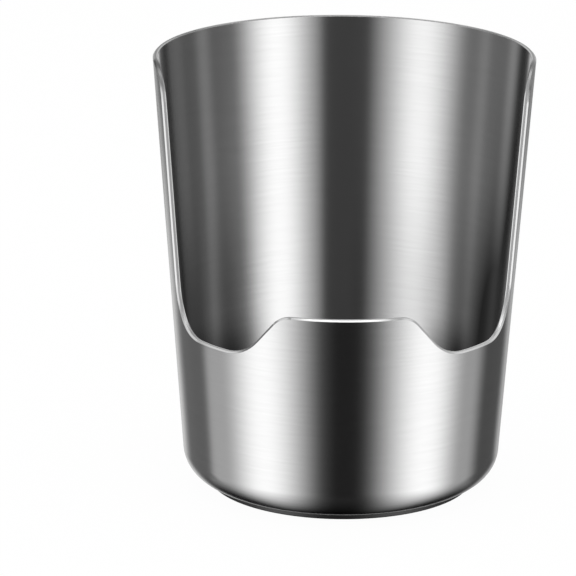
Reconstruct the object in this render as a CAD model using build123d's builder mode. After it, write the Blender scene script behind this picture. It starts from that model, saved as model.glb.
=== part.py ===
from build123d import *
from math import cos, radians, sin, tan
import os

# A free-standing utensil holder: a tapered cup drawn from thick brushed steel sheet, with most of its front
# wall cut away, standing on a round foot plate that has a soft pad let into its underside.
# The origin is the middle of the surface that it stands on, +Z is up, and the cut-out faces -Y.

# Driving dimensions, in millimetres and degrees

# The cup
HEIGHT = 137.0
RIM_DIAMETER = 118.0
TAPER_ANGLE = 4.2
WALL_THICKNESS = 1.6
BOTTOM_CORNER_RADIUS = 10.0

# The cut-out in the front wall; lengths are measured round the outside of the wall
CUT_HALF_ANGLE = 73.5
POCKET_FLOOR_HEIGHT = 53.5
TAB_RISE = 14.2
TAB_TOP_WIDTH = 40.2
TAB_FLANK_ANGLE = 48.0
RIM_CORNER_RADIUS = 11.0
POCKET_CORNER_RADIUS = 14.5
POCKET_FOOT_RADIUS = 16.0
TAB_CORNER_RADIUS = 8.0

# The broken and polished edges along the rim and the cut-out
OUTER_EDGE_BREAK = 0.6
INNER_EDGE_BREAK = 0.35

# The foot plate, welded face to face under the floor
PLATE_DIAMETER = 83.6
PLATE_THICKNESS = 1.4
PLATE_EDGE_BREAK = 0.4

# The soft round pad and the recess in the plate's underside that it is glued into
PAD_DIAMETER = 70.0
PAD_RECESS_DEPTH = 0.6
PAD_STANDS_PROUD = 0.4
PAD_EDGE_BREAK = 0.3
PAD_SIDE_CLEARANCE = 0.3

# How far inside and above the wall the tool that makes the cut-out reaches
CUTTER_MARGIN = 4.0

# Sizes and heights that follow from them
plate_bottom = PAD_STANDS_PROUD
floor_bottom = plate_bottom + PLATE_THICKNESS
rim_radius = RIM_DIAMETER / 2
tab_top_height = POCKET_FLOOR_HEIGHT + TAB_RISE
tab_half_top = TAB_TOP_WIDTH / 2
tab_half_foot = tab_half_top + TAB_RISE / tan(radians(TAB_FLANK_ANGLE))
cutter_reach = RIM_DIAMETER


def wall_radius(height):
    """Outer radius of the tapered wall at a height."""
    return rim_radius - (HEIGHT - height) * tan(radians(TAPER_ANGLE))


def on_sector(half_angle):
    """Far end of the line that leaves the axis at an angle from the middle of the front."""
    return cutter_reach * sin(half_angle), -cutter_reach * cos(half_angle)


def runs_outward(edge):
    """Whether an edge lies along a radius of the cup."""
    outward = Vector(edge.center().X, edge.center().Y, 0).normalized()
    return outward.cross(edge.tangent_at(0.5)).length < 0.001


def radial_edges(builder, height):
    """The radial edges at a height, those nearest the front first."""
    level = builder.edges().filter_by_position(Axis.Z, height - 0.01, height + 0.01)
    return level.filter_by(runs_outward).sort_by(Axis.Y)


def open_edges(wall_face):
    """The edges of one side of the wall that follow the rim and the cut-out."""
    return wall_face.edges().filter_by(lambda edge: edge.bounding_box().min.Z > POCKET_FLOOR_HEIGHT - WALL_THICKNESS)


# The tab that the cut-out leaves standing: a wedge whose flanks lean in, and are radial at every height
with BuildPart() as tab_wedge:
    for half_width, height in ((tab_half_foot, POCKET_FLOOR_HEIGHT), (tab_half_top, tab_top_height)):
        flank_x, flank_y = on_sector(half_width / wall_radius(POCKET_FLOOR_HEIGHT))
        with BuildSketch(Plane.XY.offset(height)):
            Polygon((0, 0), (-flank_x, flank_y), (flank_x, flank_y), align=None)
    loft(ruled=True)

# The tool for the cut-out: a sector from the pocket floors up, less the tab, with every corner rounded
with BuildPart() as front_cutter:
    with BuildSketch(Plane.XY.offset(POCKET_FLOOR_HEIGHT)):
        side_x, side_y = on_sector(radians(CUT_HALF_ANGLE))
        Polygon(
            (0, 0),
            (-side_x, side_y),
            (-side_x, -cutter_reach),
            (side_x, -cutter_reach),
            (side_x, side_y),
            align=None,
        )
        Circle(wall_radius(POCKET_FLOOR_HEIGHT) - WALL_THICKNESS - CUTTER_MARGIN, mode=Mode.SUBTRACT)
    extrude(amount=HEIGHT + CUTTER_MARGIN - POCKET_FLOOR_HEIGHT)
    add(tab_wedge.part, mode=Mode.SUBTRACT)
    fillet(radial_edges(front_cutter, POCKET_FLOOR_HEIGHT)[2:], radius=POCKET_CORNER_RADIUS)
    fillet(radial_edges(front_cutter, POCKET_FLOOR_HEIGHT)[:2], radius=POCKET_FOOT_RADIUS)
    fillet(radial_edges(front_cutter, tab_top_height), radius=TAB_CORNER_RADIUS)

# The drawn cup: a tapered body with a round bottom corner, hollowed to the sheet's thickness and then cut open
with BuildPart() as body_shell:
    with BuildSketch(Plane.YZ):
        with BuildLine():
            Polyline(
                (0, floor_bottom),
                (-wall_radius(floor_bottom), floor_bottom),
                (-rim_radius, HEIGHT),
                (0, HEIGHT),
                close=True,
            )
        make_face()
    revolve(axis=Axis.Z)
    fillet(body_shell.edges().group_by(Axis.Z)[0], radius=BOTTOM_CORNER_RADIUS)
    offset(amount=-WALL_THICKNESS, openings=body_shell.faces().sort_by(Axis.Z)[-1])
    add(front_cutter.part, mode=Mode.SUBTRACT)
    fillet(radial_edges(body_shell, HEIGHT), radius=RIM_CORNER_RADIUS)
    for side, edge_break in ((-1, OUTER_EDGE_BREAK), (-2, INNER_EDGE_BREAK)):
        wall_face = body_shell.faces().filter_by(GeomType.CONE).sort_by(SortBy.AREA)[side]
        chamfer(open_edges(wall_face), length=edge_break)
body_shell.part.label = "body_shell"

# The foot plate: a flat disc with a broken lower edge and a round recess in its underside
with BuildPart() as base_plate:
    with BuildSketch(Plane.XY.offset(plate_bottom)):
        Circle(PLATE_DIAMETER / 2)
    extrude(amount=PLATE_THICKNESS)
    chamfer(base_plate.edges().sort_by(Axis.Z)[0], length=PLATE_EDGE_BREAK)
    with BuildSketch(Plane.XY.offset(plate_bottom)):
        Circle(PAD_DIAMETER / 2 + PAD_SIDE_CLEARANCE)
    extrude(amount=PAD_RECESS_DEPTH, mode=Mode.SUBTRACT)
base_plate.part.label = "base_plate"

# The soft pad, which fills its recess up to the roof and stands just proud of the plate
with BuildPart() as anti_slip_pad:
    with BuildSketch(Plane.XY):
        Circle(PAD_DIAMETER / 2)
    extrude(amount=PAD_STANDS_PROUD + PAD_RECESS_DEPTH)
    chamfer(anti_slip_pad.edges().sort_by(Axis.Z)[0], length=PAD_EDGE_BREAK)
anti_slip_pad.part.label = "anti_slip_pad"

os.makedirs("parts", exist_ok=True)
export_step(body_shell.part, "parts/body_shell.step")
export_step(base_plate.part, "parts/base_plate.step")
export_step(anti_slip_pad.part, "parts/anti_slip_pad.step")
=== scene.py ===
"""Looks of a tapered steel utensil holder whose front wall is cut away above a low tab."""

import logging
import math
from dataclasses import dataclass, field
from enum import Enum
from typing import Any, Union

import bpy
from mathutils import Matrix, Vector

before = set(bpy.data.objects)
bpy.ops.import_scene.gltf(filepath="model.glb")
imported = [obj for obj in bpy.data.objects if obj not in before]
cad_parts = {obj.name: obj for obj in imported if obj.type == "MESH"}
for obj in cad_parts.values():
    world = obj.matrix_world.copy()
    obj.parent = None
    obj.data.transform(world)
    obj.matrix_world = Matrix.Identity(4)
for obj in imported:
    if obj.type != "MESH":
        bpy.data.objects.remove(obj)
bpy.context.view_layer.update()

log = logging.getLogger("utensil_holder")

Number = Union[int, float]

BLACK = (0.0, 0.0, 0.0, 1.0)
WHITE = (1.0, 1.0, 1.0, 1.0)

# How far the camera stands above the holder, in degrees.
EYE_ELEVATION = 15.684
# In metres. Points nearer to the axis than this count as this far from it.
SMALLEST_RADIUS = 0.0005
# In metres. It stands for no distance where an angle is worked out from one.
NO_DISTANCE = 0.00001
# Places across the cup that lie outside it: a band that fades out between them goes on to the cup's side.
PAST_THE_SIDE = (2.0, 3.0)
# Bearings beyond straight behind: a band that fades out between them goes on to there.
PAST_THE_BACK = (190.0, 200.0)


class Operation(Enum):
    """The sums that a shader value can take part in."""

    ADD = "ADD"
    SUBTRACT = "SUBTRACT"
    MULTIPLY = "MULTIPLY"
    DIVIDE = "DIVIDE"
    ARCTAN2 = "ARCTAN2"
    ABSOLUTE = "ABSOLUTE"
    MINIMUM = "MINIMUM"
    MAXIMUM = "MAXIMUM"
    SQUARE_ROOT = "SQRT"
    SINE = "SINE"
    COSINE = "COSINE"


class VectorOperation(Enum):
    """The sums that two directions, or one, can take part in."""

    ADD = "ADD"
    SUBTRACT = "SUBTRACT"
    NORMALIZE = "NORMALIZE"
    DOT_PRODUCT = "DOT_PRODUCT"


class NodeBench:
    """Adds nodes to one material's or world's tree and hands back their values."""

    def __init__(self, tree: bpy.types.NodeTree) -> None:
        """Empty the tree.

        Args:
            tree: The tree that the nodes go into.
        """
        self.tree = tree
        tree.nodes.clear()

    def add(self, kind: str, settings: dict[str, Any] | None = None, **inputs: Any) -> bpy.types.Node:
        """Add a node, set it up and feed its sockets.

        Args:
            kind: The node's type name.
            settings: What is set on the node itself.
            **inputs: Value or link of each socket, by its name with underscores for spaces, or by "at_" and
                its place.

        Returns:
            The new node.
        """
        node = self.tree.nodes.new(kind)
        for name, value in (settings or {}).items():
            setattr(node, name, value)
        for name, value in inputs.items():
            socket = self._socket(node, name)
            if isinstance(value, Value):
                self.tree.links.new(value.socket, socket)
            elif isinstance(value, bpy.types.NodeSocket):
                self.tree.links.new(value, socket)
            else:
                socket.default_value = value
        return node

    def value(
        self,
        kind: str,
        output: str = "",
        settings: dict[str, Any] | None = None,
        **inputs: Any,
    ) -> "Value":
        """Add a node and wrap one of its outputs.

        Args:
            kind: The node's type name.
            output: The output's name, or nothing for the first one.
            settings: What is set on the node itself.
            **inputs: Value or link of each socket.

        Returns:
            The output as a value that sums can be written with.
        """
        node = self.add(kind, settings, **inputs)
        return Value(self, node.outputs[output] if output else node.outputs[0])

    def grey(self, share: "Value", low: float, high: float) -> "Value":
        """Add a grey that lies between two levels.

        Args:
            share: Where between them it lies.
            low: The darker level.
            high: The lighter level.

        Returns:
            The colour.
        """
        return self.mixture(share, (low, low, low, 1.0), (high, high, high, 1.0))

    def mixture(self, share: Any, low: Any, high: Any) -> "Value":
        """Add a mix of two colours.

        Args:
            share: 0 for the first colour and 1 for the second.
            low: The first colour.
            high: The second colour.

        Returns:
            The colour.
        """
        settings = {"data_type": "RGBA"}
        return self.value("ShaderNodeMix", "Result", settings, at_0=share, at_6=low, at_7=high)

    def vector(self, operation: VectorOperation, first: Any, second: Any = None) -> "Value":
        """Add one Vector Math node.

        Args:
            operation: What the node works out.
            first: Its first direction.
            second: Its second direction, if it takes one.

        Returns:
            The result.
        """
        inputs = {"at_0": first} if second is None else {"at_0": first, "at_1": second}
        output = "Value" if operation is VectorOperation.DOT_PRODUCT else "Vector"
        return self.value("ShaderNodeVectorMath", output, {"operation": operation.value}, **inputs)

    @staticmethod
    def _socket(node: bpy.types.Node, name: str) -> bpy.types.NodeSocket:
        """Find an input by its name or its place.

        Args:
            node: The node that has the input.
            name: The input's name with underscores, or "at_" and its place.

        Returns:
            The socket.
        """
        if name.startswith("at_"):
            return node.inputs[int(name[3:])]
        return node.inputs[name.replace("_", " ")]


class Value:
    """An output inside a shader, most often a number. Sums written with it add Math nodes."""

    def __init__(self, bench: NodeBench, socket: bpy.types.NodeSocket) -> None:
        """Wrap a socket.

        Args:
            bench: The tree that the socket belongs to.
            socket: The output that carries the number.
        """
        self.bench = bench
        self.socket = socket

    def _sum(self, operation: Operation, first: Any, second: Any = None) -> "Value":
        """Add one Math node.

        Args:
            operation: What the node works out.
            first: Its first number.
            second: Its second number, if it takes one.

        Returns:
            The result.
        """
        inputs = {"at_0": first} if second is None else {"at_0": first, "at_1": second}
        return self.bench.value("ShaderNodeMath", settings={"operation": operation.value}, **inputs)

    def __add__(self, other: Union["Value", Number]) -> "Value":
        """Value plus other."""
        return self._sum(Operation.ADD, self, other)

    def __sub__(self, other: Union["Value", Number]) -> "Value":
        """Value minus other."""
        return self._sum(Operation.SUBTRACT, self, other)

    def __rsub__(self, other: Number) -> "Value":
        """Other minus value."""
        return self._sum(Operation.SUBTRACT, other, self)

    def __mul__(self, other: Union["Value", Number]) -> "Value":
        """Value times other."""
        return self._sum(Operation.MULTIPLY, self, other)

    def __truediv__(self, other: Union["Value", Number]) -> "Value":
        """Value divided by other."""
        return self._sum(Operation.DIVIDE, self, other)

    def __neg__(self) -> "Value":
        """Minus value."""
        return self * -1.0

    def angle_from(self, other: "Value") -> "Value":
        """Angle whose tangent is this value over the other, in radians."""
        return self._sum(Operation.ARCTAN2, self, other)

    def size(self) -> "Value":
        """The value without its sign."""
        return self._sum(Operation.ABSOLUTE, self)

    def at_most(self, other: Union["Value", Number]) -> "Value":
        """The smaller of the two."""
        return self._sum(Operation.MINIMUM, self, other)

    def at_least(self, other: Union["Value", Number]) -> "Value":
        """The larger of the two."""
        return self._sum(Operation.MAXIMUM, self, other)

    def root(self) -> "Value":
        """The square root."""
        return self._sum(Operation.SQUARE_ROOT, self)

    def sine(self) -> "Value":
        """The sine of an angle in radians."""
        return self._sum(Operation.SINE, self)

    def cosine(self) -> "Value":
        """The cosine of an angle in radians."""
        return self._sum(Operation.COSINE, self)

    def mixed(self, low: Union["Value", Number], high: Union["Value", Number]) -> "Value":
        """Low where the value is 0, high where it is 1."""
        return self * (high - low) + low

    def rise(self, start: float, end: float) -> "Value":
        """Smooth step between two levels.

        Args:
            start: Level at which the step leaves 0.
            end: Level at which it reaches 1; it may be the lower of the two.

        Returns:
            A value from 0 to 1.
        """
        return self.bench.value(
            "ShaderNodeMapRange",
            settings={"interpolation_type": "SMOOTHSTEP"},
            Value=self,
            From_Min=start,
            From_Max=end,
        )


@dataclass(frozen=True)
class Band:
    """A band that fades in and out along a scale, on one side of its zero.

    Attributes:
        side: 1 for the right-hand side and -1 for the left.
        near: Distances from zero between which the band fades in.
        far: Distances from zero between which it fades out.
        strength: Its strength between them.
    """

    side: int
    near: tuple[float, float]
    far: tuple[float, float]
    strength: float

    def at(self, place: Value) -> Value:
        """Strength of the band at a place.

        Args:
            place: The place on the scale.

        Returns:
            The strength.
        """
        distance = place * self.side
        return distance.rise(*self.near) * (1 - distance.rise(*self.far)) * self.strength


@dataclass(frozen=True)
class Bands:
    """Bands on top of an even level.

    Attributes:
        bands: The bands.
        level: The even level.
    """

    bands: tuple[Band, ...]
    level: float = 0.0

    def at(self, place: Value) -> Value:
        """Level at a place.

        Args:
            place: The place on the scale.

        Returns:
            The even level and every band's strength there, added up.
        """
        total = self.bands[0].at(place) + self.level
        for band in self.bands[1:]:
            total = total + band.at(place)
        return total


@dataclass(frozen=True)
class CupForm:
    """Sizes of the drawn cup that the finishes follow, in metres.

    Attributes:
        height: Height of the rim above the surface that the holder stands on.
        rim_radius: Outer radius at the rim.
        taper: Angle between the wall and the axis, in radians.
        wall: Thickness of the sheet.
        corner: Radius of the round bottom corner, outside.
        underside: Height of the underside of the cup's floor.
    """

    height: float = 0.137
    rim_radius: float = 0.059
    taper: float = math.radians(4.2)
    wall: float = 0.0016
    corner: float = 0.010
    underside: float = 0.0018

    @property
    def corner_height(self) -> float:
        """Height of the line that the bottom corner is rounded about."""
        return self.underside + self.corner

    @property
    def corner_radius(self) -> float:
        """Radius of that line round the axis."""
        wall = self.rim_radius - (self.height - self.corner_height) * math.tan(self.taper)
        return wall - self.corner / math.cos(self.taper)


@dataclass(frozen=True)
class TurnedPoint:
    """Where a point lies on a turned piece, in metres.

    Attributes:
        x: Place to the right.
        y: Place to the back.
        z: Height.
        radius: Distance from the axis.
    """

    x: Value
    y: Value
    z: Value
    radius: Value

    @classmethod
    def read(cls, bench: NodeBench) -> "TurnedPoint":
        """Work the point out from Object coordinates.

        Args:
            bench: The material's tree.

        Returns:
            The point.
        """
        place = bench.value("ShaderNodeTexCoord", "Object")
        split = bench.add("ShaderNodeSeparateXYZ", Vector=place)
        x, y, z = (Value(bench, output) for output in split.outputs)
        return cls(x, y, z, (x * x + y * y).root().at_least(SMALLEST_RADIUS))

    def across(self) -> Value:
        """Place across the piece, from -1 on its left to 1 on its right."""
        return self.x / self.radius


@dataclass(frozen=True)
class Streaks:
    """A layer of the brushing: noise whose streaks run round the piece.

    Attributes:
        turns: How fast the noise changes round the piece.
        lines: How fast it changes along the profile, per metre.
        detail: How many finer layers it has.
        share: Its share of the brushing.
    """

    turns: float
    lines: float
    detail: float
    share: float

    def at(self, point: TurnedPoint) -> Value:
        """Noise at a point.

        Args:
            point: The point on the piece.

        Returns:
            The noise, about 0.5 on average.
        """
        bench = point.x.bench
        place = bench.value(
            "ShaderNodeCombineXYZ",
            X=point.across() * self.turns,
            Y=point.y / point.radius * self.turns,
            Z=(point.radius + point.z) * self.lines,
        )
        return bench.value(
            "ShaderNodeTexNoise",
            "Fac",
            Vector=place,
            Scale=1.0,
            Detail=self.detail,
            Roughness=0.6,
        )


@dataclass(frozen=True)
class SheetPoint:
    """Where a point lies in the thickness of the cup's sheet, and which way the sheet faces there.

    Attributes:
        depth: 0 on the outer face and 1 on the inner one.
        outward: Direction square to the sheet, out of the cup.
        drawn: Direction that the drawn surface faces.
        slant: How far that lies along the outward one: 1 on the outer face, 0 on a cut edge and -1 on the
            inner face.
    """

    depth: Value
    outward: Value
    drawn: Value
    slant: Value

    @classmethod
    def read(cls, point: TurnedPoint, form: CupForm) -> "SheetPoint":
        """Work the place in the sheet out.

        Args:
            point: The point on the cup.
            form: Sizes of the cup.

        Returns:
            The place.
        """
        bench = point.x.bench
        beyond = (point.radius - form.corner_radius).at_least(NO_DISTANCE)
        below = form.corner_height - point.z
        tilt = below.angle_from(beyond).at_least(form.taper)
        level, drop = tilt.cosine(), tilt.sine()
        stand_off = level * (point.radius - form.corner_radius) + drop * below
        outward = bench.value(
            "ShaderNodeCombineXYZ",
            X=point.across() * level,
            Y=point.y / point.radius * level,
            Z=-drop,
        )
        drawn = bench.value("ShaderNodeNewGeometry", "Normal")
        slant = bench.vector(VectorOperation.DOT_PRODUCT, drawn, outward)
        return cls((form.corner - stand_off) / form.wall, outward, drawn, slant)


@dataclass(frozen=True)
class BrokenEdge:
    """The way light rolls over the broken corners between the sheet's faces and its cut edge.

    Places are shares of the sheet's thickness, from the outer face.

    Attributes:
        outer_tilt: How far the outer corner's slope leans out of the cut edge, in radians.
        inner_tilt: The same for the inner corner.
        outer_face: Places between which the outer face gives way to the outer slope.
        outer_slope: Places between which the outer slope gives way to the flat of the edge.
        inner_slope: Places between which the flat gives way to the inner slope.
        inner_face: Places between which the inner slope gives way to the inner face.
        face_slant: Slants of the drawn surface between which it counts as the outer face, wherever it is.
    """

    outer_tilt: float = math.radians(45)
    inner_tilt: float = math.radians(13)
    outer_face: tuple[float, float] = (0.0, 0.04)
    outer_slope: tuple[float, float] = (0.30, 0.38)
    inner_slope: tuple[float, float] = (0.72, 0.80)
    inner_face: tuple[float, float] = (0.92, 0.98)
    face_slant: tuple[float, float] = (0.85, 0.95)

    def facing(self, sheet: SheetPoint) -> Value:
        """Direction that the surface faces.

        Args:
            sheet: The place in the sheet.

        Returns:
            The direction, true on the faces and rolled over the corners.
        """
        bench = sheet.depth.bench
        outer = self._outer(sheet) * (math.pi / 2 - self.outer_tilt)
        outer = outer + (1 - sheet.depth.rise(*self.outer_slope)) * self.outer_tilt
        inner = self._inner(sheet) * (math.pi / 2 - self.inner_tilt)
        inner = inner + sheet.depth.rise(*self.inner_slope) * self.inner_tilt
        angle = outer - inner
        along_sheet = self._scaled(sheet.outward, sheet.slant)
        square = bench.vector(VectorOperation.SUBTRACT, sheet.drawn, along_sheet)
        square = bench.vector(VectorOperation.NORMALIZE, square)
        out_of_edge = self._scaled(square, angle.cosine())
        return bench.vector(VectorOperation.ADD, out_of_edge, self._scaled(sheet.outward, angle.sine()))

    def cut(self, sheet: SheetPoint) -> Value:
        """How far a point belongs to the cut edge: 0 on the faces and 1 between them."""
        return (1 - self._outer(sheet)) * (1 - self._inner(sheet))

    def flat(self, sheet: SheetPoint) -> Value:
        """How far a point belongs to the flat of the cut edge: 0 on its slopes and 1 between them."""
        return sheet.depth.rise(*self.outer_slope) * (1 - sheet.depth.rise(*self.inner_slope))

    def _outer(self, sheet: SheetPoint) -> Value:
        """1 on the outer face and 0 from the outer slope on."""
        return (1 - sheet.depth.rise(*self.outer_face)).at_least(sheet.slant.rise(*self.face_slant))

    def _inner(self, sheet: SheetPoint) -> Value:
        """1 on the inner face and 0 up to the inner slope."""
        return sheet.depth.rise(*self.inner_face).at_least((-sheet.slant).rise(*self.face_slant))

    @staticmethod
    def _scaled(direction: Value, factor: Value) -> Value:
        """A direction times a number."""
        settings = {"operation": "SCALE"}
        return direction.bench.value("ShaderNodeVectorMath", settings=settings, at_0=direction, Scale=factor)


@dataclass(frozen=True)
class EdgePolish:
    """How bright the polished cut edge is. Brightnesses are shares of the steel's own.

    Attributes:
        slopes: Brightness of the broken corners.
        flat_shades: Brightness of the flat between them, left and right; painted shade darkens the left one.
        flat_shade_places: Places to the right, in metres, between which that painted shade lifts.
        line_share: How far the polishing lines decide between the slopes' brightness and the flat's.
        lines_along: How fast the lines change along the edge, per metre.
        lines_across: How fast they change across it, per thickness of the sheet.
        rim_shade: Shade on the rim towards its two front corners.
        rim_places: Places across the cup between which it sets in.
        rim_heights: Heights between which it sets in, in metres.
        roughness: Roughness of the broken corners between the lines.
        flat_roughness: How much rougher the flat is.
        line_roughness: How much rougher the lines are.
    """

    slopes: float = 0.92
    # Painted shade: the flat of the cut edge is 0.62 of the steel on the left and 0.94 on the right.
    flat_shades: tuple[float, float] = (0.62, 0.94)
    flat_shade_places: tuple[float, float] = (0.0, 0.05)
    line_share: float = 0.25
    lines_along: float = 60.0
    lines_across: float = 9.0
    rim_shade: float = 0.55
    rim_places: tuple[float, float] = (0.55, 0.85)
    rim_heights: tuple[float, float] = (0.128, 0.134)
    roughness: float = 0.12
    flat_roughness: float = 0.24
    line_roughness: float = 0.08


@dataclass(frozen=True)
class WallShade:
    """Shade on the inside of the wall that sets in downward.

    Attributes:
        heights: Heights between which it sets in, in metres.
        bands: Its bands, over places across the cup from -1 on the left to 1 on the right.
    """

    heights: tuple[float, float]
    bands: tuple[Band, ...]

    def at(self, across: Value, height: Value) -> Value:
        """Shade at a place across the cup and at a height."""
        return Bands(self.bands).at(across) * height.rise(*self.heights)


@dataclass(frozen=True)
class BrushedSteel:
    """Steel brushed round the piece, with polished cut edges.

    Attributes:
        name: The material's name.
        colour: Brightness of the steel.
        variation: How far the brushing changes it either way, as a share of it.
        roughness: How rough the brushed faces are.
        streaks: How much the brushing changes the roughness.
        anisotropy: How far the brushing draws reflections out.
        form: The cup that the edges are found on, or nothing where a piece has none.
        edge: The way its corners are softened.
        polish: How bright they and the cut edge are.
        hairlines: The finest layer of the brushing.
        threads: A coarser layer, which the colour follows too.
        swathes: The coarsest layer.
        ledge_shade: Shade on what faces upward, on a piece without a form.
        ledge_slants: Parts of the facing direction upward between which it sets in.
        inside_slants: Slants of the sheet between which the shades of the inside set in.
        edge_shade: Shade on the inside beside the cut edges, over places across the cup.
        wall_shades: Shades towards the foot, above the bottom corner and below the rim.
        deepest_shade: The most that all of them come to.
        floor_heights: Heights between which the cup's floor, which has no shade, gives way to the wall.
    """

    name: str
    colour: float = 0.58
    variation: float = 0.06
    roughness: float = 0.19
    streaks: float = 0.06
    anisotropy: float = 0.75
    form: CupForm | None = None
    edge: BrokenEdge = field(default_factory=BrokenEdge)
    polish: EdgePolish = field(default_factory=EdgePolish)
    hairlines: Streaks = Streaks(turns=9.0, lines=5200.0, detail=2.0, share=0.5)
    threads: Streaks = Streaks(turns=3.0, lines=1500.0, detail=3.0, share=0.35)
    swathes: Streaks = Streaks(turns=1.2, lines=240.0, detail=2.0, share=0.15)
    ledge_shade: float = 0.85
    ledge_slants: tuple[float, float] = (0.1, 0.6)
    inside_slants: tuple[float, float] = (0.0, -0.5)
    edge_shade: Bands = Bands(
        bands=(
            Band(-1, (0.945, 0.975), PAST_THE_SIDE, 0.55),
            Band(1, (0.955, 0.985), PAST_THE_SIDE, 0.66),
            Band(1, (0.975, 0.995), PAST_THE_SIDE, 0.24),
        ),
    )
    wall_shades: tuple[WallShade, ...] = (
        WallShade(
            heights=(0.098, 0.042),
            bands=(
                Band(-1, (0.50, 0.70), (0.74, 0.86), 0.50),
                Band(-1, (0.80, 0.92), PAST_THE_SIDE, 0.62),
                Band(1, (0.04, 0.14), (0.54, 0.68), 0.20),
                Band(1, (0.66, 0.78), PAST_THE_SIDE, 0.45),
                Band(1, (0.80, 0.92), PAST_THE_SIDE, 0.38),
            ),
        ),
        WallShade(
            heights=(0.046, 0.028),
            bands=(
                Band(-1, (0.40, 0.60), PAST_THE_SIDE, 0.38),
                Band(-1, (0.74, 0.86), PAST_THE_SIDE, 0.22),
                Band(1, (0.51, 0.67), (0.74, 0.92), 0.56),
            ),
        ),
        WallShade(heights=(0.130, 0.078), bands=(Band(1, (0.84, 0.94), PAST_THE_SIDE, 0.36),)),
    )
    deepest_shade: float = 0.90
    floor_heights: tuple[float, float] = (0.008, 0.024)

    def make(self) -> bpy.types.Material:
        """Build the material.

        Returns:
            The material.
        """
        material = bpy.data.materials.new(self.name)
        material.use_nodes = True
        bench = NodeBench(material.node_tree)
        point = TurnedPoint.read(bench)
        hairlines = self.hairlines.at(point) * self.hairlines.share
        threads = self.threads.at(point)
        swathes = self.swathes.at(point) * self.swathes.share
        grain = hairlines + threads * self.threads.share + swathes - 0.5
        if self.form is None:
            drawn = bench.value("ShaderNodeNewGeometry", "Normal")
            upward = bench.value("ShaderNodeSeparateXYZ", "Z", Vector=drawn)
            shade = upward.rise(*self.ledge_slants) * self.ledge_shade
            surface = self._brushed(bench, grain, threads, shade=shade)
        else:
            sheet = SheetPoint.read(point, self.form)
            facing = self.edge.facing(sheet)
            shade = sheet.slant.rise(*self.inside_slants) * self._shade_inside(point)
            surface = bench.value(
                "ShaderNodeMixShader",
                at_0=self.edge.cut(sheet),
                at_1=self._brushed(bench, grain, threads, facing, shade),
                at_2=self._polished(bench, point, sheet, facing),
            )
        bench.add("ShaderNodeOutputMaterial", Surface=surface)
        return material

    def _shade_inside(self, point: TurnedPoint) -> Value:
        """How much darker the inside wall is than the steel.

        Args:
            point: The point on the cup.

        Returns:
            The share of the brightness that is missing.
        """
        across = point.across()
        shade = self.edge_shade.at(across)
        for wall_shade in self.wall_shades:
            shade = shade + wall_shade.at(across, point.z)
        return shade.at_most(self.deepest_shade) * point.z.rise(*self.floor_heights)

    def _brushed(
        self,
        bench: NodeBench,
        grain: Value,
        threads: Value,
        facing: Value | None = None,
        shade: Value | Number = 0.0,
    ) -> Value:
        """Shader of the brushed faces.

        Args:
            bench: The material's tree.
            grain: The brushing, about 0 on average.
            threads: The coarser lines in it.
            facing: Direction that the surface faces, or nothing where the drawn one is kept.
            shade: How much of the steel's brightness is taken away.

        Returns:
            The shader.
        """
        low, high = self.colour * (1 - self.variation), self.colour * (1 + self.variation)
        plain = bench.grey(threads, low, high)
        turned = {} if facing is None else {"Normal": facing}
        bump = bench.value("ShaderNodeBump", Strength=0.12, Distance=0.00003, Height=grain, **turned)
        return bench.value(
            "ShaderNodeBsdfPrincipled",
            Base_Color=bench.mixture(shade, plain, BLACK),
            Metallic=1.0,
            Roughness=grain * self.streaks + self.roughness,
            Anisotropic=self.anisotropy,
            Anisotropic_Rotation=0.25,
            Normal=bump,
        )

    def _polished(self, bench: NodeBench, point: TurnedPoint, sheet: SheetPoint, facing: Value) -> Value:
        """Shader of the cut edge, ground and polished along its length.

        Args:
            bench: The material's tree.
            point: The point on the cup.
            sheet: Its place in the sheet.
            facing: Direction that the surface faces.

        Returns:
            The shader.
        """
        polish, flat = self.polish, self.edge.flat(sheet)
        place = bench.value(
            "ShaderNodeCombineXYZ",
            X=point.x * polish.lines_along,
            Y=sheet.depth * polish.lines_across,
            Z=point.z * polish.lines_along,
        )
        lines = bench.value("ShaderNodeTexNoise", "Fac", Vector=place, Scale=1.0, Detail=3.0, Roughness=0.7)
        bump = bench.value("ShaderNodeBump", Strength=0.2, Distance=0.00004, Height=lines, Normal=facing)
        slopes = (*[self.colour * polish.slopes] * 3, 1.0)
        # Painted shade: the flat is greyer on the left than on the right.
        left, right = (self.colour * level for level in polish.flat_shades)
        flat_shades = bench.grey(point.x.rise(*polish.flat_shade_places), left, right)
        share = flat * (1 - polish.line_share) + lines * polish.line_share
        corner = point.across().size().rise(*polish.rim_places) * point.z.rise(*polish.rim_heights)
        return bench.value(
            "ShaderNodeBsdfPrincipled",
            Base_Color=bench.mixture(corner * polish.rim_shade, bench.mixture(share, slopes, flat_shades), BLACK),
            Metallic=1.0,
            Roughness=flat * polish.flat_roughness + lines * polish.line_roughness + polish.roughness,
            Normal=bump,
        )


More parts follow.
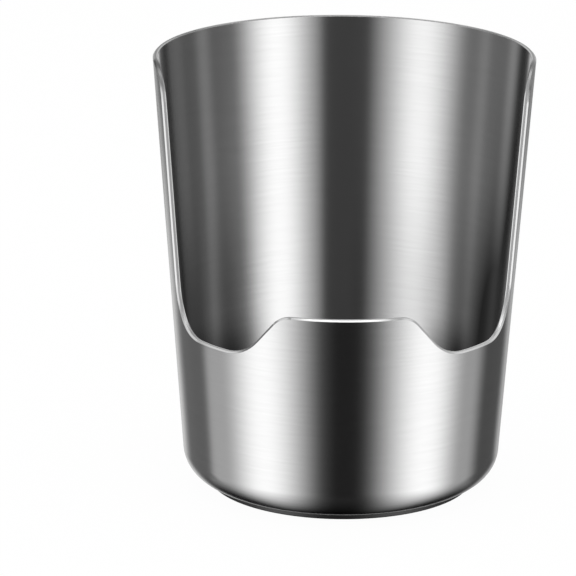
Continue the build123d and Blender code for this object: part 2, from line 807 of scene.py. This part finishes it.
@dataclass(frozen=True)
class SoftPad:
    """Matt closed-cell foam rubber.

    Attributes:
        name: The material's name.
        dark: Colour of the rubber where it is clean.
        dusty: Its colour where dust lies on it.
        roughness: How rough it is where it is clean.
        dust_roughness: How much rougher the dust is.
    """

    name: str
    dark: tuple[float, ...] = (0.036, 0.036, 0.0376, 1.0)
    dusty: tuple[float, ...] = (0.063, 0.063, 0.0658, 1.0)
    roughness: float = 0.72
    dust_roughness: float = 0.15

    def make(self) -> bpy.types.Material:
        """Build the material.

        Returns:
            The material.
        """
        material = bpy.data.materials.new(self.name)
        material.use_nodes = True
        bench = NodeBench(material.node_tree)
        place = bench.value("ShaderNodeTexCoord", "Object")
        pores = bench.value("ShaderNodeTexVoronoi", "Distance", Vector=place, Scale=2600.0)
        dust = bench.value("ShaderNodeTexNoise", "Fac", Vector=place, Scale=90.0, Detail=4.0)
        bump = bench.value("ShaderNodeBump", Strength=0.4, Distance=0.0001, Height=pores)
        shader = bench.value(
            "ShaderNodeBsdfPrincipled",
            Base_Color=bench.mixture(dust, self.dark, self.dusty),
            Roughness=dust * self.dust_roughness + self.roughness,
            Normal=bump,
        )
        bench.add("ShaderNodeOutputMaterial", Surface=shader)
        return material


@dataclass
class CadPiece:
    """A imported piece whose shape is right, which only gets its finish.

    Attributes:
        node: The piece's name.
        finish: The finish that it gets.
    """

    node: str
    finish: BrushedSteel | SoftPad

    def build(self) -> bpy.types.Object:
        """Dress the piece.

        Returns:
            Its object.
        """
        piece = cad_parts[self.node]
        material = self.finish.make()
        for slot in piece.material_slots:
            slot.material = material
        piece.visible_glossy = False
        return piece


@dataclass
class Holder:
    """The whole holder: the cut-open cup, the foot plate welded under it and the pad in the plate.

    Attributes:
        form: Sizes of the cup.
    """

    form: CupForm = field(default_factory=CupForm)

    def build(self) -> list[bpy.types.Object]:
        """Dress every piece.

        Returns:
            The pieces.
        """
        pieces = [
            CadPiece("body_shell", BrushedSteel("brushed_cup_steel", form=self.form)),
            # Painted shade: the foot plate's steel is near black (0.07) for the shade under the cup and the
            # shaded floor it mirrors.
            CadPiece("base_plate", BrushedSteel("shaded_foot_steel", colour=0.07, roughness=0.44)),
            CadPiece("anti_slip_pad", SoftPad("foam_rubber")),
        ]
        return [piece.build() for piece in pieces]


@dataclass(frozen=True)
class Direction:
    """A direction out of the holder, and the steel that mirrors it to the viewer. Angles are in degrees.

    Attributes:
        side: Its part to the right.
        back: Its part away from the viewer.
        up: Its part upward.
        bearing: Its bearing from the viewer's side.
        height: Its height above the horizon.
        turn: Twice the bearing of the steel that mirrors it to the viewer.
        lean: How far that steel leans upward.
    """

    side: Value
    back: Value
    up: Value
    bearing: Value
    height: Value
    turn: Value
    lean: Value

    @classmethod
    def read(cls, bench: NodeBench, eye: float) -> "Direction":
        """Work the direction out from the world's own coordinates.

        Args:
            bench: The world's tree.
            eye: How far the viewer looks down, in radians.

        Returns:
            The direction.
        """
        place = bench.value("ShaderNodeTexCoord", "Generated")
        split = bench.add("ShaderNodeSeparateXYZ", Vector=place)
        side, back, up = (Value(bench, output) for output in split.outputs)
        degrees = 180 / math.pi
        bearing = side.angle_from(-back) * degrees
        height = up.angle_from((side * side + back * back).root()) * degrees
        ahead = math.cos(eye) - back
        turn = side.angle_from(ahead) * (2 * degrees)
        lean = (up + math.sin(eye)).angle_from((side * side + ahead * ahead).root()) * degrees
        return cls(side, back, up, bearing, height, turn, lean)


@dataclass(frozen=True)
class Ceiling:
    """The ceiling: a lamp in front, a panel along each side and dimmer cloth between.

    Places are a direction's parts to the side, to the back or upward.

    Attributes:
        lamp: Brightness of the lamp.
        lamp_side: Places to the side between which the lamp ends.
        lamp_back: Places to the back between which it ends.
        panels: Brightness of the panels.
        panels_side: Places to the side between which they begin.
        cloth: Brightness of the cloth.
        foot: Places upward between which the ceiling begins.
        front: Places to the back between which it begins.
        rear: Places to the back between which it ends.
    """

    lamp: float = 3.0
    lamp_side: tuple[float, float] = (0.42, 0.22)
    lamp_back: tuple[float, float] = (0.25, -0.15)
    panels: float = 0.7
    panels_side: tuple[float, float] = (0.45, 0.62)
    cloth: float = 0.52
    foot: tuple[float, float] = (0.38, 0.55)
    front: tuple[float, float] = (-0.60, -0.22)
    rear: tuple[float, float] = (0.74, 0.60)

    def share(self, toward: Direction) -> Value:
        """How far a direction meets the ceiling, from 0 to 1."""
        return toward.up.rise(*self.foot) * toward.back.rise(*self.front) * toward.back.rise(*self.rear)

    def at(self, toward: Direction) -> Value:
        """Brightness of the ceiling in a direction.

        Args:
            toward: The direction.

        Returns:
            The brightness.
        """
        across = toward.side.size()
        lamp = toward.back.rise(*self.lamp_back) * across.rise(*self.lamp_side) * self.lamp
        return lamp + across.rise(*self.panels_side) * self.panels + self.cloth


@dataclass(frozen=True)
class Surroundings:
    """What the steel mirrors: a floor, tall panels and dark screens round the holder, and a ceiling.

    Angles are in degrees. The bands lie over bearings.

    Attributes:
        ceiling: The ceiling.
        wall_behind: Brightness of the wall behind the holder, above it.
        wall_bearings: Bearings to either side between which that wall begins.
        wall_heights: Heights between which it begins.
        floor_glow: Brightness of the floor between the panels' reflections in it.
        floor_leans: Leans of the steel between which the floor comes up.
        floor_haste: How much faster it comes up on steel that faces the side.
        floor_turns: Turns to either side between which that begins.
        panel_heights: Heights between which the panels take over from the floor.
        face_leans: Leans between which the outside's panels give way to the inside's.
        edge_leans: Leans between which these give way to what the edges mirror.
        rear: Panels behind the holder, low enough for its outside alone to mirror them.
        rear_heights: Heights between which they begin, downward, at a bearing of 0.
        rear_climb: How much higher they begin for each degree of bearing.
        steep: What the edges that lean well upward mirror.
        upper: Panels and grey cloths that the inside mirrors, which leans a little upward.
        lower: Those that the outside mirrors, which leans a little downward.
    """

    ceiling: Ceiling = field(default_factory=Ceiling)
    wall_behind: float = 0.40
    wall_bearings: tuple[float, float] = (164.0, 176.0)
    wall_heights: tuple[float, float] = (2.0, 14.0)
    floor_glow: float = 0.02
    floor_leans: tuple[float, float] = (-60.0, 0.0)
    floor_haste: float = 1.45
    floor_turns: tuple[float, float] = (30.0, 92.0)
    panel_heights: tuple[float, float] = (-42.0, -26.0)
    face_leans: tuple[float, float] = (-2.0, 2.0)
    edge_leans: tuple[float, float] = (12.0, 22.0)
    rear: Bands = Bands(
        bands=(
            Band(1, (148, 160), PAST_THE_BACK, 0.28),
            Band(-1, (152, 164), PAST_THE_BACK, 0.28),
            Band(-1, (152, 164), (170, 180), 0.14),
        ),
    )
    rear_heights: tuple[float, float] = (-28.9, -29.7)
    rear_climb: float = 0.1
    steep: Bands = Bands(
        level=0.30,
        bands=(
            Band(1, (-125, -95), PAST_THE_BACK, 0.45),
            Band(-1, (150, 165), PAST_THE_BACK, 0.45),
        ),
    )
    upper: Bands = Bands(
        level=0.02,
        bands=(
            Band(1, (-40, -25), (25, 40), 0.04),
            Band(1, (11, 15), (17, 28), 0.11),
            Band(1, (8, 41), (43, 76), 1.76),
            Band(1, (44, 76), (136, 152), 0.10),
            Band(1, (89, 99), (100, 110), 0.15),
            Band(1, (118, 127), (130, 140), 0.04),
            Band(1, (148, 156), PAST_THE_BACK, 0.03),
            Band(-1, (16, 21), (24, 36), 0.055),
            Band(-1, (14, 51), (52, 89), 1.55),
            Band(-1, (52, 89), (136, 152), 0.17),
            Band(-1, (92, 101), (101, 110), 0.10),
            Band(-1, (123, 133), (134, 143), 0.15),
            Band(-1, (146, 154), PAST_THE_BACK, 0.03),
        ),
    )
    lower: Bands = Bands(
        level=0.01,
        bands=(
            Band(1, (8, 20), (24, 44), 0.04),
            Band(-1, (4, 14), (20, 40), 0.045),
            Band(1, (14, 62), (66, 98), 1.78),
            Band(1, (66, 98), (103, 121), 0.54),
            Band(1, (98, 120), (144, 160), 0.09),
            Band(-1, (11, 57), (61, 95), 1.74),
            Band(-1, (61, 95), (107, 116), 0.60),
            Band(-1, (107, 116), (144, 162), 0.16),
            Band(1, (144, 160), PAST_THE_BACK, 0.52),
            Band(-1, (143, 164), PAST_THE_BACK, 0.52),
            Band(-1, (143, 164), (170, 180), 0.22),
        ),
    )

    def at(self, toward: Direction) -> Value:
        """Brightness in a direction.

        Args:
            toward: The direction.

        Returns:
            The brightness.
        """
        aside = toward.bearing.size()
        low_enough = (toward.height - aside * self.rear_climb).rise(*self.rear_heights)
        upper = self.upper.at(toward.bearing) + self.rear.at(toward.bearing) * low_enough
        panels = toward.lean.rise(*self.face_leans).mixed(self.lower.at(toward.bearing), upper)
        around = toward.height.rise(*self.panel_heights).mixed(self._floor(toward), panels)
        around = toward.lean.rise(*self.edge_leans).mixed(around, self.steep.at(toward.bearing))
        wall = aside.rise(*self.wall_bearings) * toward.height.rise(*self.wall_heights) * self.wall_behind
        return self.ceiling.share(toward).mixed(around + wall, self.ceiling.at(toward))

    def _floor(self, toward: Direction) -> Value:
        """Brightness of the floor in a direction, with the panels' reflections in it.

        Args:
            toward: The direction.

        Returns:
            The brightness.
        """
        haste = toward.turn.size().rise(*self.floor_turns).mixed(1.0, self.floor_haste)
        return (self.lower.at(toward.turn) + self.floor_glow) * (toward.lean * haste).rise(*self.floor_leans)


@dataclass
class Studio:
    """A pale floor, an even soft light, a lamp overhead and the surroundings that the steel mirrors.

    Attributes:
        floor_size: Width of the floor in metres.
        floor_paleness: How much of the light the floor throws back.
        floor_whiteness: Share of plain white in what the camera sees of it.
        daylight: Strength of the even light.
        key_power: Power of the lamp overhead, in watts.
        key_height: Its height in metres.
        key_size: Its width in metres.
        eye: How far the viewer looks down, in radians.
        surroundings: What the steel mirrors.
    """

    floor_size: float = 30.0
    floor_paleness: float = 0.95
    floor_whiteness: float = 0.97
    daylight: float = 0.7
    key_power: float = 9.0
    key_height: float = 1.6
    key_size: float = 1.2
    eye: float = math.radians(EYE_ELEVATION)
    surroundings: Surroundings = field(default_factory=Surroundings)

    def build(self) -> None:
        """Set the world, the floor and the lamp."""
        bpy.context.scene.view_settings.view_transform = "Standard"
        self._world()
        self._floor()
        self._lamp()

    def _world(self) -> None:
        """Make the surroundings: white to the eye, panels and screens to the steel."""
        world = bpy.data.worlds.new("studio_surroundings")
        bpy.context.scene.world = world
        world.use_nodes = True
        bench = NodeBench(world.node_tree)
        path = bench.add("ShaderNodeLightPath")
        through = Value(bench, path.outputs["Is Transmission Ray"])
        seen = Value(bench, path.outputs["Is Camera Ray"]).at_least(through)
        glossy = Value(bench, path.outputs["Is Glossy Ray"])
        mirrored = self.surroundings.at(Direction.read(bench, self.eye))
        strength = glossy.mixed(seen.mixed(self.daylight, 1.0), mirrored)
        background = bench.value("ShaderNodeBackground", Color=WHITE, Strength=strength)
        bench.add("ShaderNodeOutputWorld", Surface=background)

    def _floor(self) -> None:
        """Lay the floor: its own paleness to the light, near white to the eye, with the holder's shadow."""
        bpy.ops.object.select_all(action="DESELECT")
        bpy.ops.mesh.primitive_plane_add(size=self.floor_size, location=(0, 0, 0))
        floor = bpy.context.object
        floor.name = "floor"
        material = bpy.data.materials.new("pale_floor")
        material.use_nodes = True
        bench = NodeBench(material.node_tree)
        cloth = bench.value("ShaderNodeBsdfDiffuse", Color=(*[self.floor_paleness] * 3, 1.0))
        white = bench.value("ShaderNodeEmission", Color=WHITE, Strength=1.0)
        seen = bench.value("ShaderNodeLightPath", "Is Camera Ray")
        share = seen * self.floor_whiteness
        shader = bench.value("ShaderNodeMixShader", at_0=share, at_1=cloth, at_2=white)
        bench.add("ShaderNodeOutputMaterial", Surface=shader)
        floor.data.materials.append(material)
        floor.visible_glossy = False

    def _lamp(self) -> None:
        """Hang the soft lamp."""
        bpy.ops.object.select_all(action="DESELECT")
        bpy.ops.object.light_add(type="AREA", location=(0, 0, self.key_height))
        lamp = bpy.context.object
        lamp.name = "overhead_lamp"
        lamp.data.shape = "DISK"
        lamp.data.size = self.key_size
        lamp.data.energy = self.key_power
        lamp.visible_glossy = False


@dataclass(frozen=True)
class Viewpoint:
    """The camera, which stands in front and above, and looks a little past the holder.

    Attributes:
        target: Point on the holder's axis that the distance is measured to, in metres.
        distance: How far the camera stands from it.
        bearing: How far it stands round towards -X, in degrees.
        elevation: How far it stands above it, in degrees.
        pan: How far it is turned past the holder towards -X, in degrees.
        pitch: How far it looks down, in degrees.
        roll: How far it leans anticlockwise, in degrees.
        lens: Focal length in millimetres on a 36 mm sensor.
    """

    target: tuple[float, float, float] = (0.0, 0.0, 0.070)
    distance: float = 1.25
    bearing: float = 1.35
    elevation: float = EYE_ELEVATION
    pan: float = 0.808
    pitch: float = 16.025
    roll: float = 0.310
    lens: float = 250.25

    def build(self) -> bpy.types.Object:
        """Set up the camera.

        Returns:
            The camera.
        """
        side = math.radians(self.bearing)
        lift = math.radians(self.elevation)
        back = Vector((-math.sin(side) * math.cos(lift), -math.cos(side) * math.cos(lift), math.sin(lift)))
        bpy.ops.object.select_all(action="DESELECT")
        bpy.ops.object.camera_add(location=Vector(self.target) + back * self.distance)
        camera = bpy.context.object
        camera.name = "viewpoint"
        turn = math.radians(self.pan - self.bearing)
        down = math.radians(self.pitch)
        forward = Vector((-math.sin(turn) * math.cos(down), math.cos(turn) * math.cos(down), -math.sin(down)))
        right = Vector((math.cos(turn), math.sin(turn), 0.0))
        up = right.cross(forward)
        upright = Matrix((right, up, -forward)).transposed()
        lean = Matrix.Rotation(math.radians(self.roll), 3, "Z")
        camera.rotation_mode = "QUATERNION"
        camera.rotation_quaternion = (upright @ lean).to_quaternion()
        camera.data.sensor_width = 36.0
        camera.data.lens = self.lens
        camera.data.clip_start = 0.01
        camera.data.clip_end = 60.0
        bpy.context.scene.camera = camera
        return camera


def main() -> None:
    """Build the holder's looks, the studio and the camera, and log the pieces and the camera's place."""
    logging.basicConfig(level=logging.INFO, format="%(name)s: %(message)s")
    for piece in Holder().build():
        log.info("dressed %s", piece.name)
    Studio().build()
    camera = Viewpoint().build()
    log.info("camera at %s", [round(value, 3) for value in camera.location])


if __name__ == "__main__":
    main()
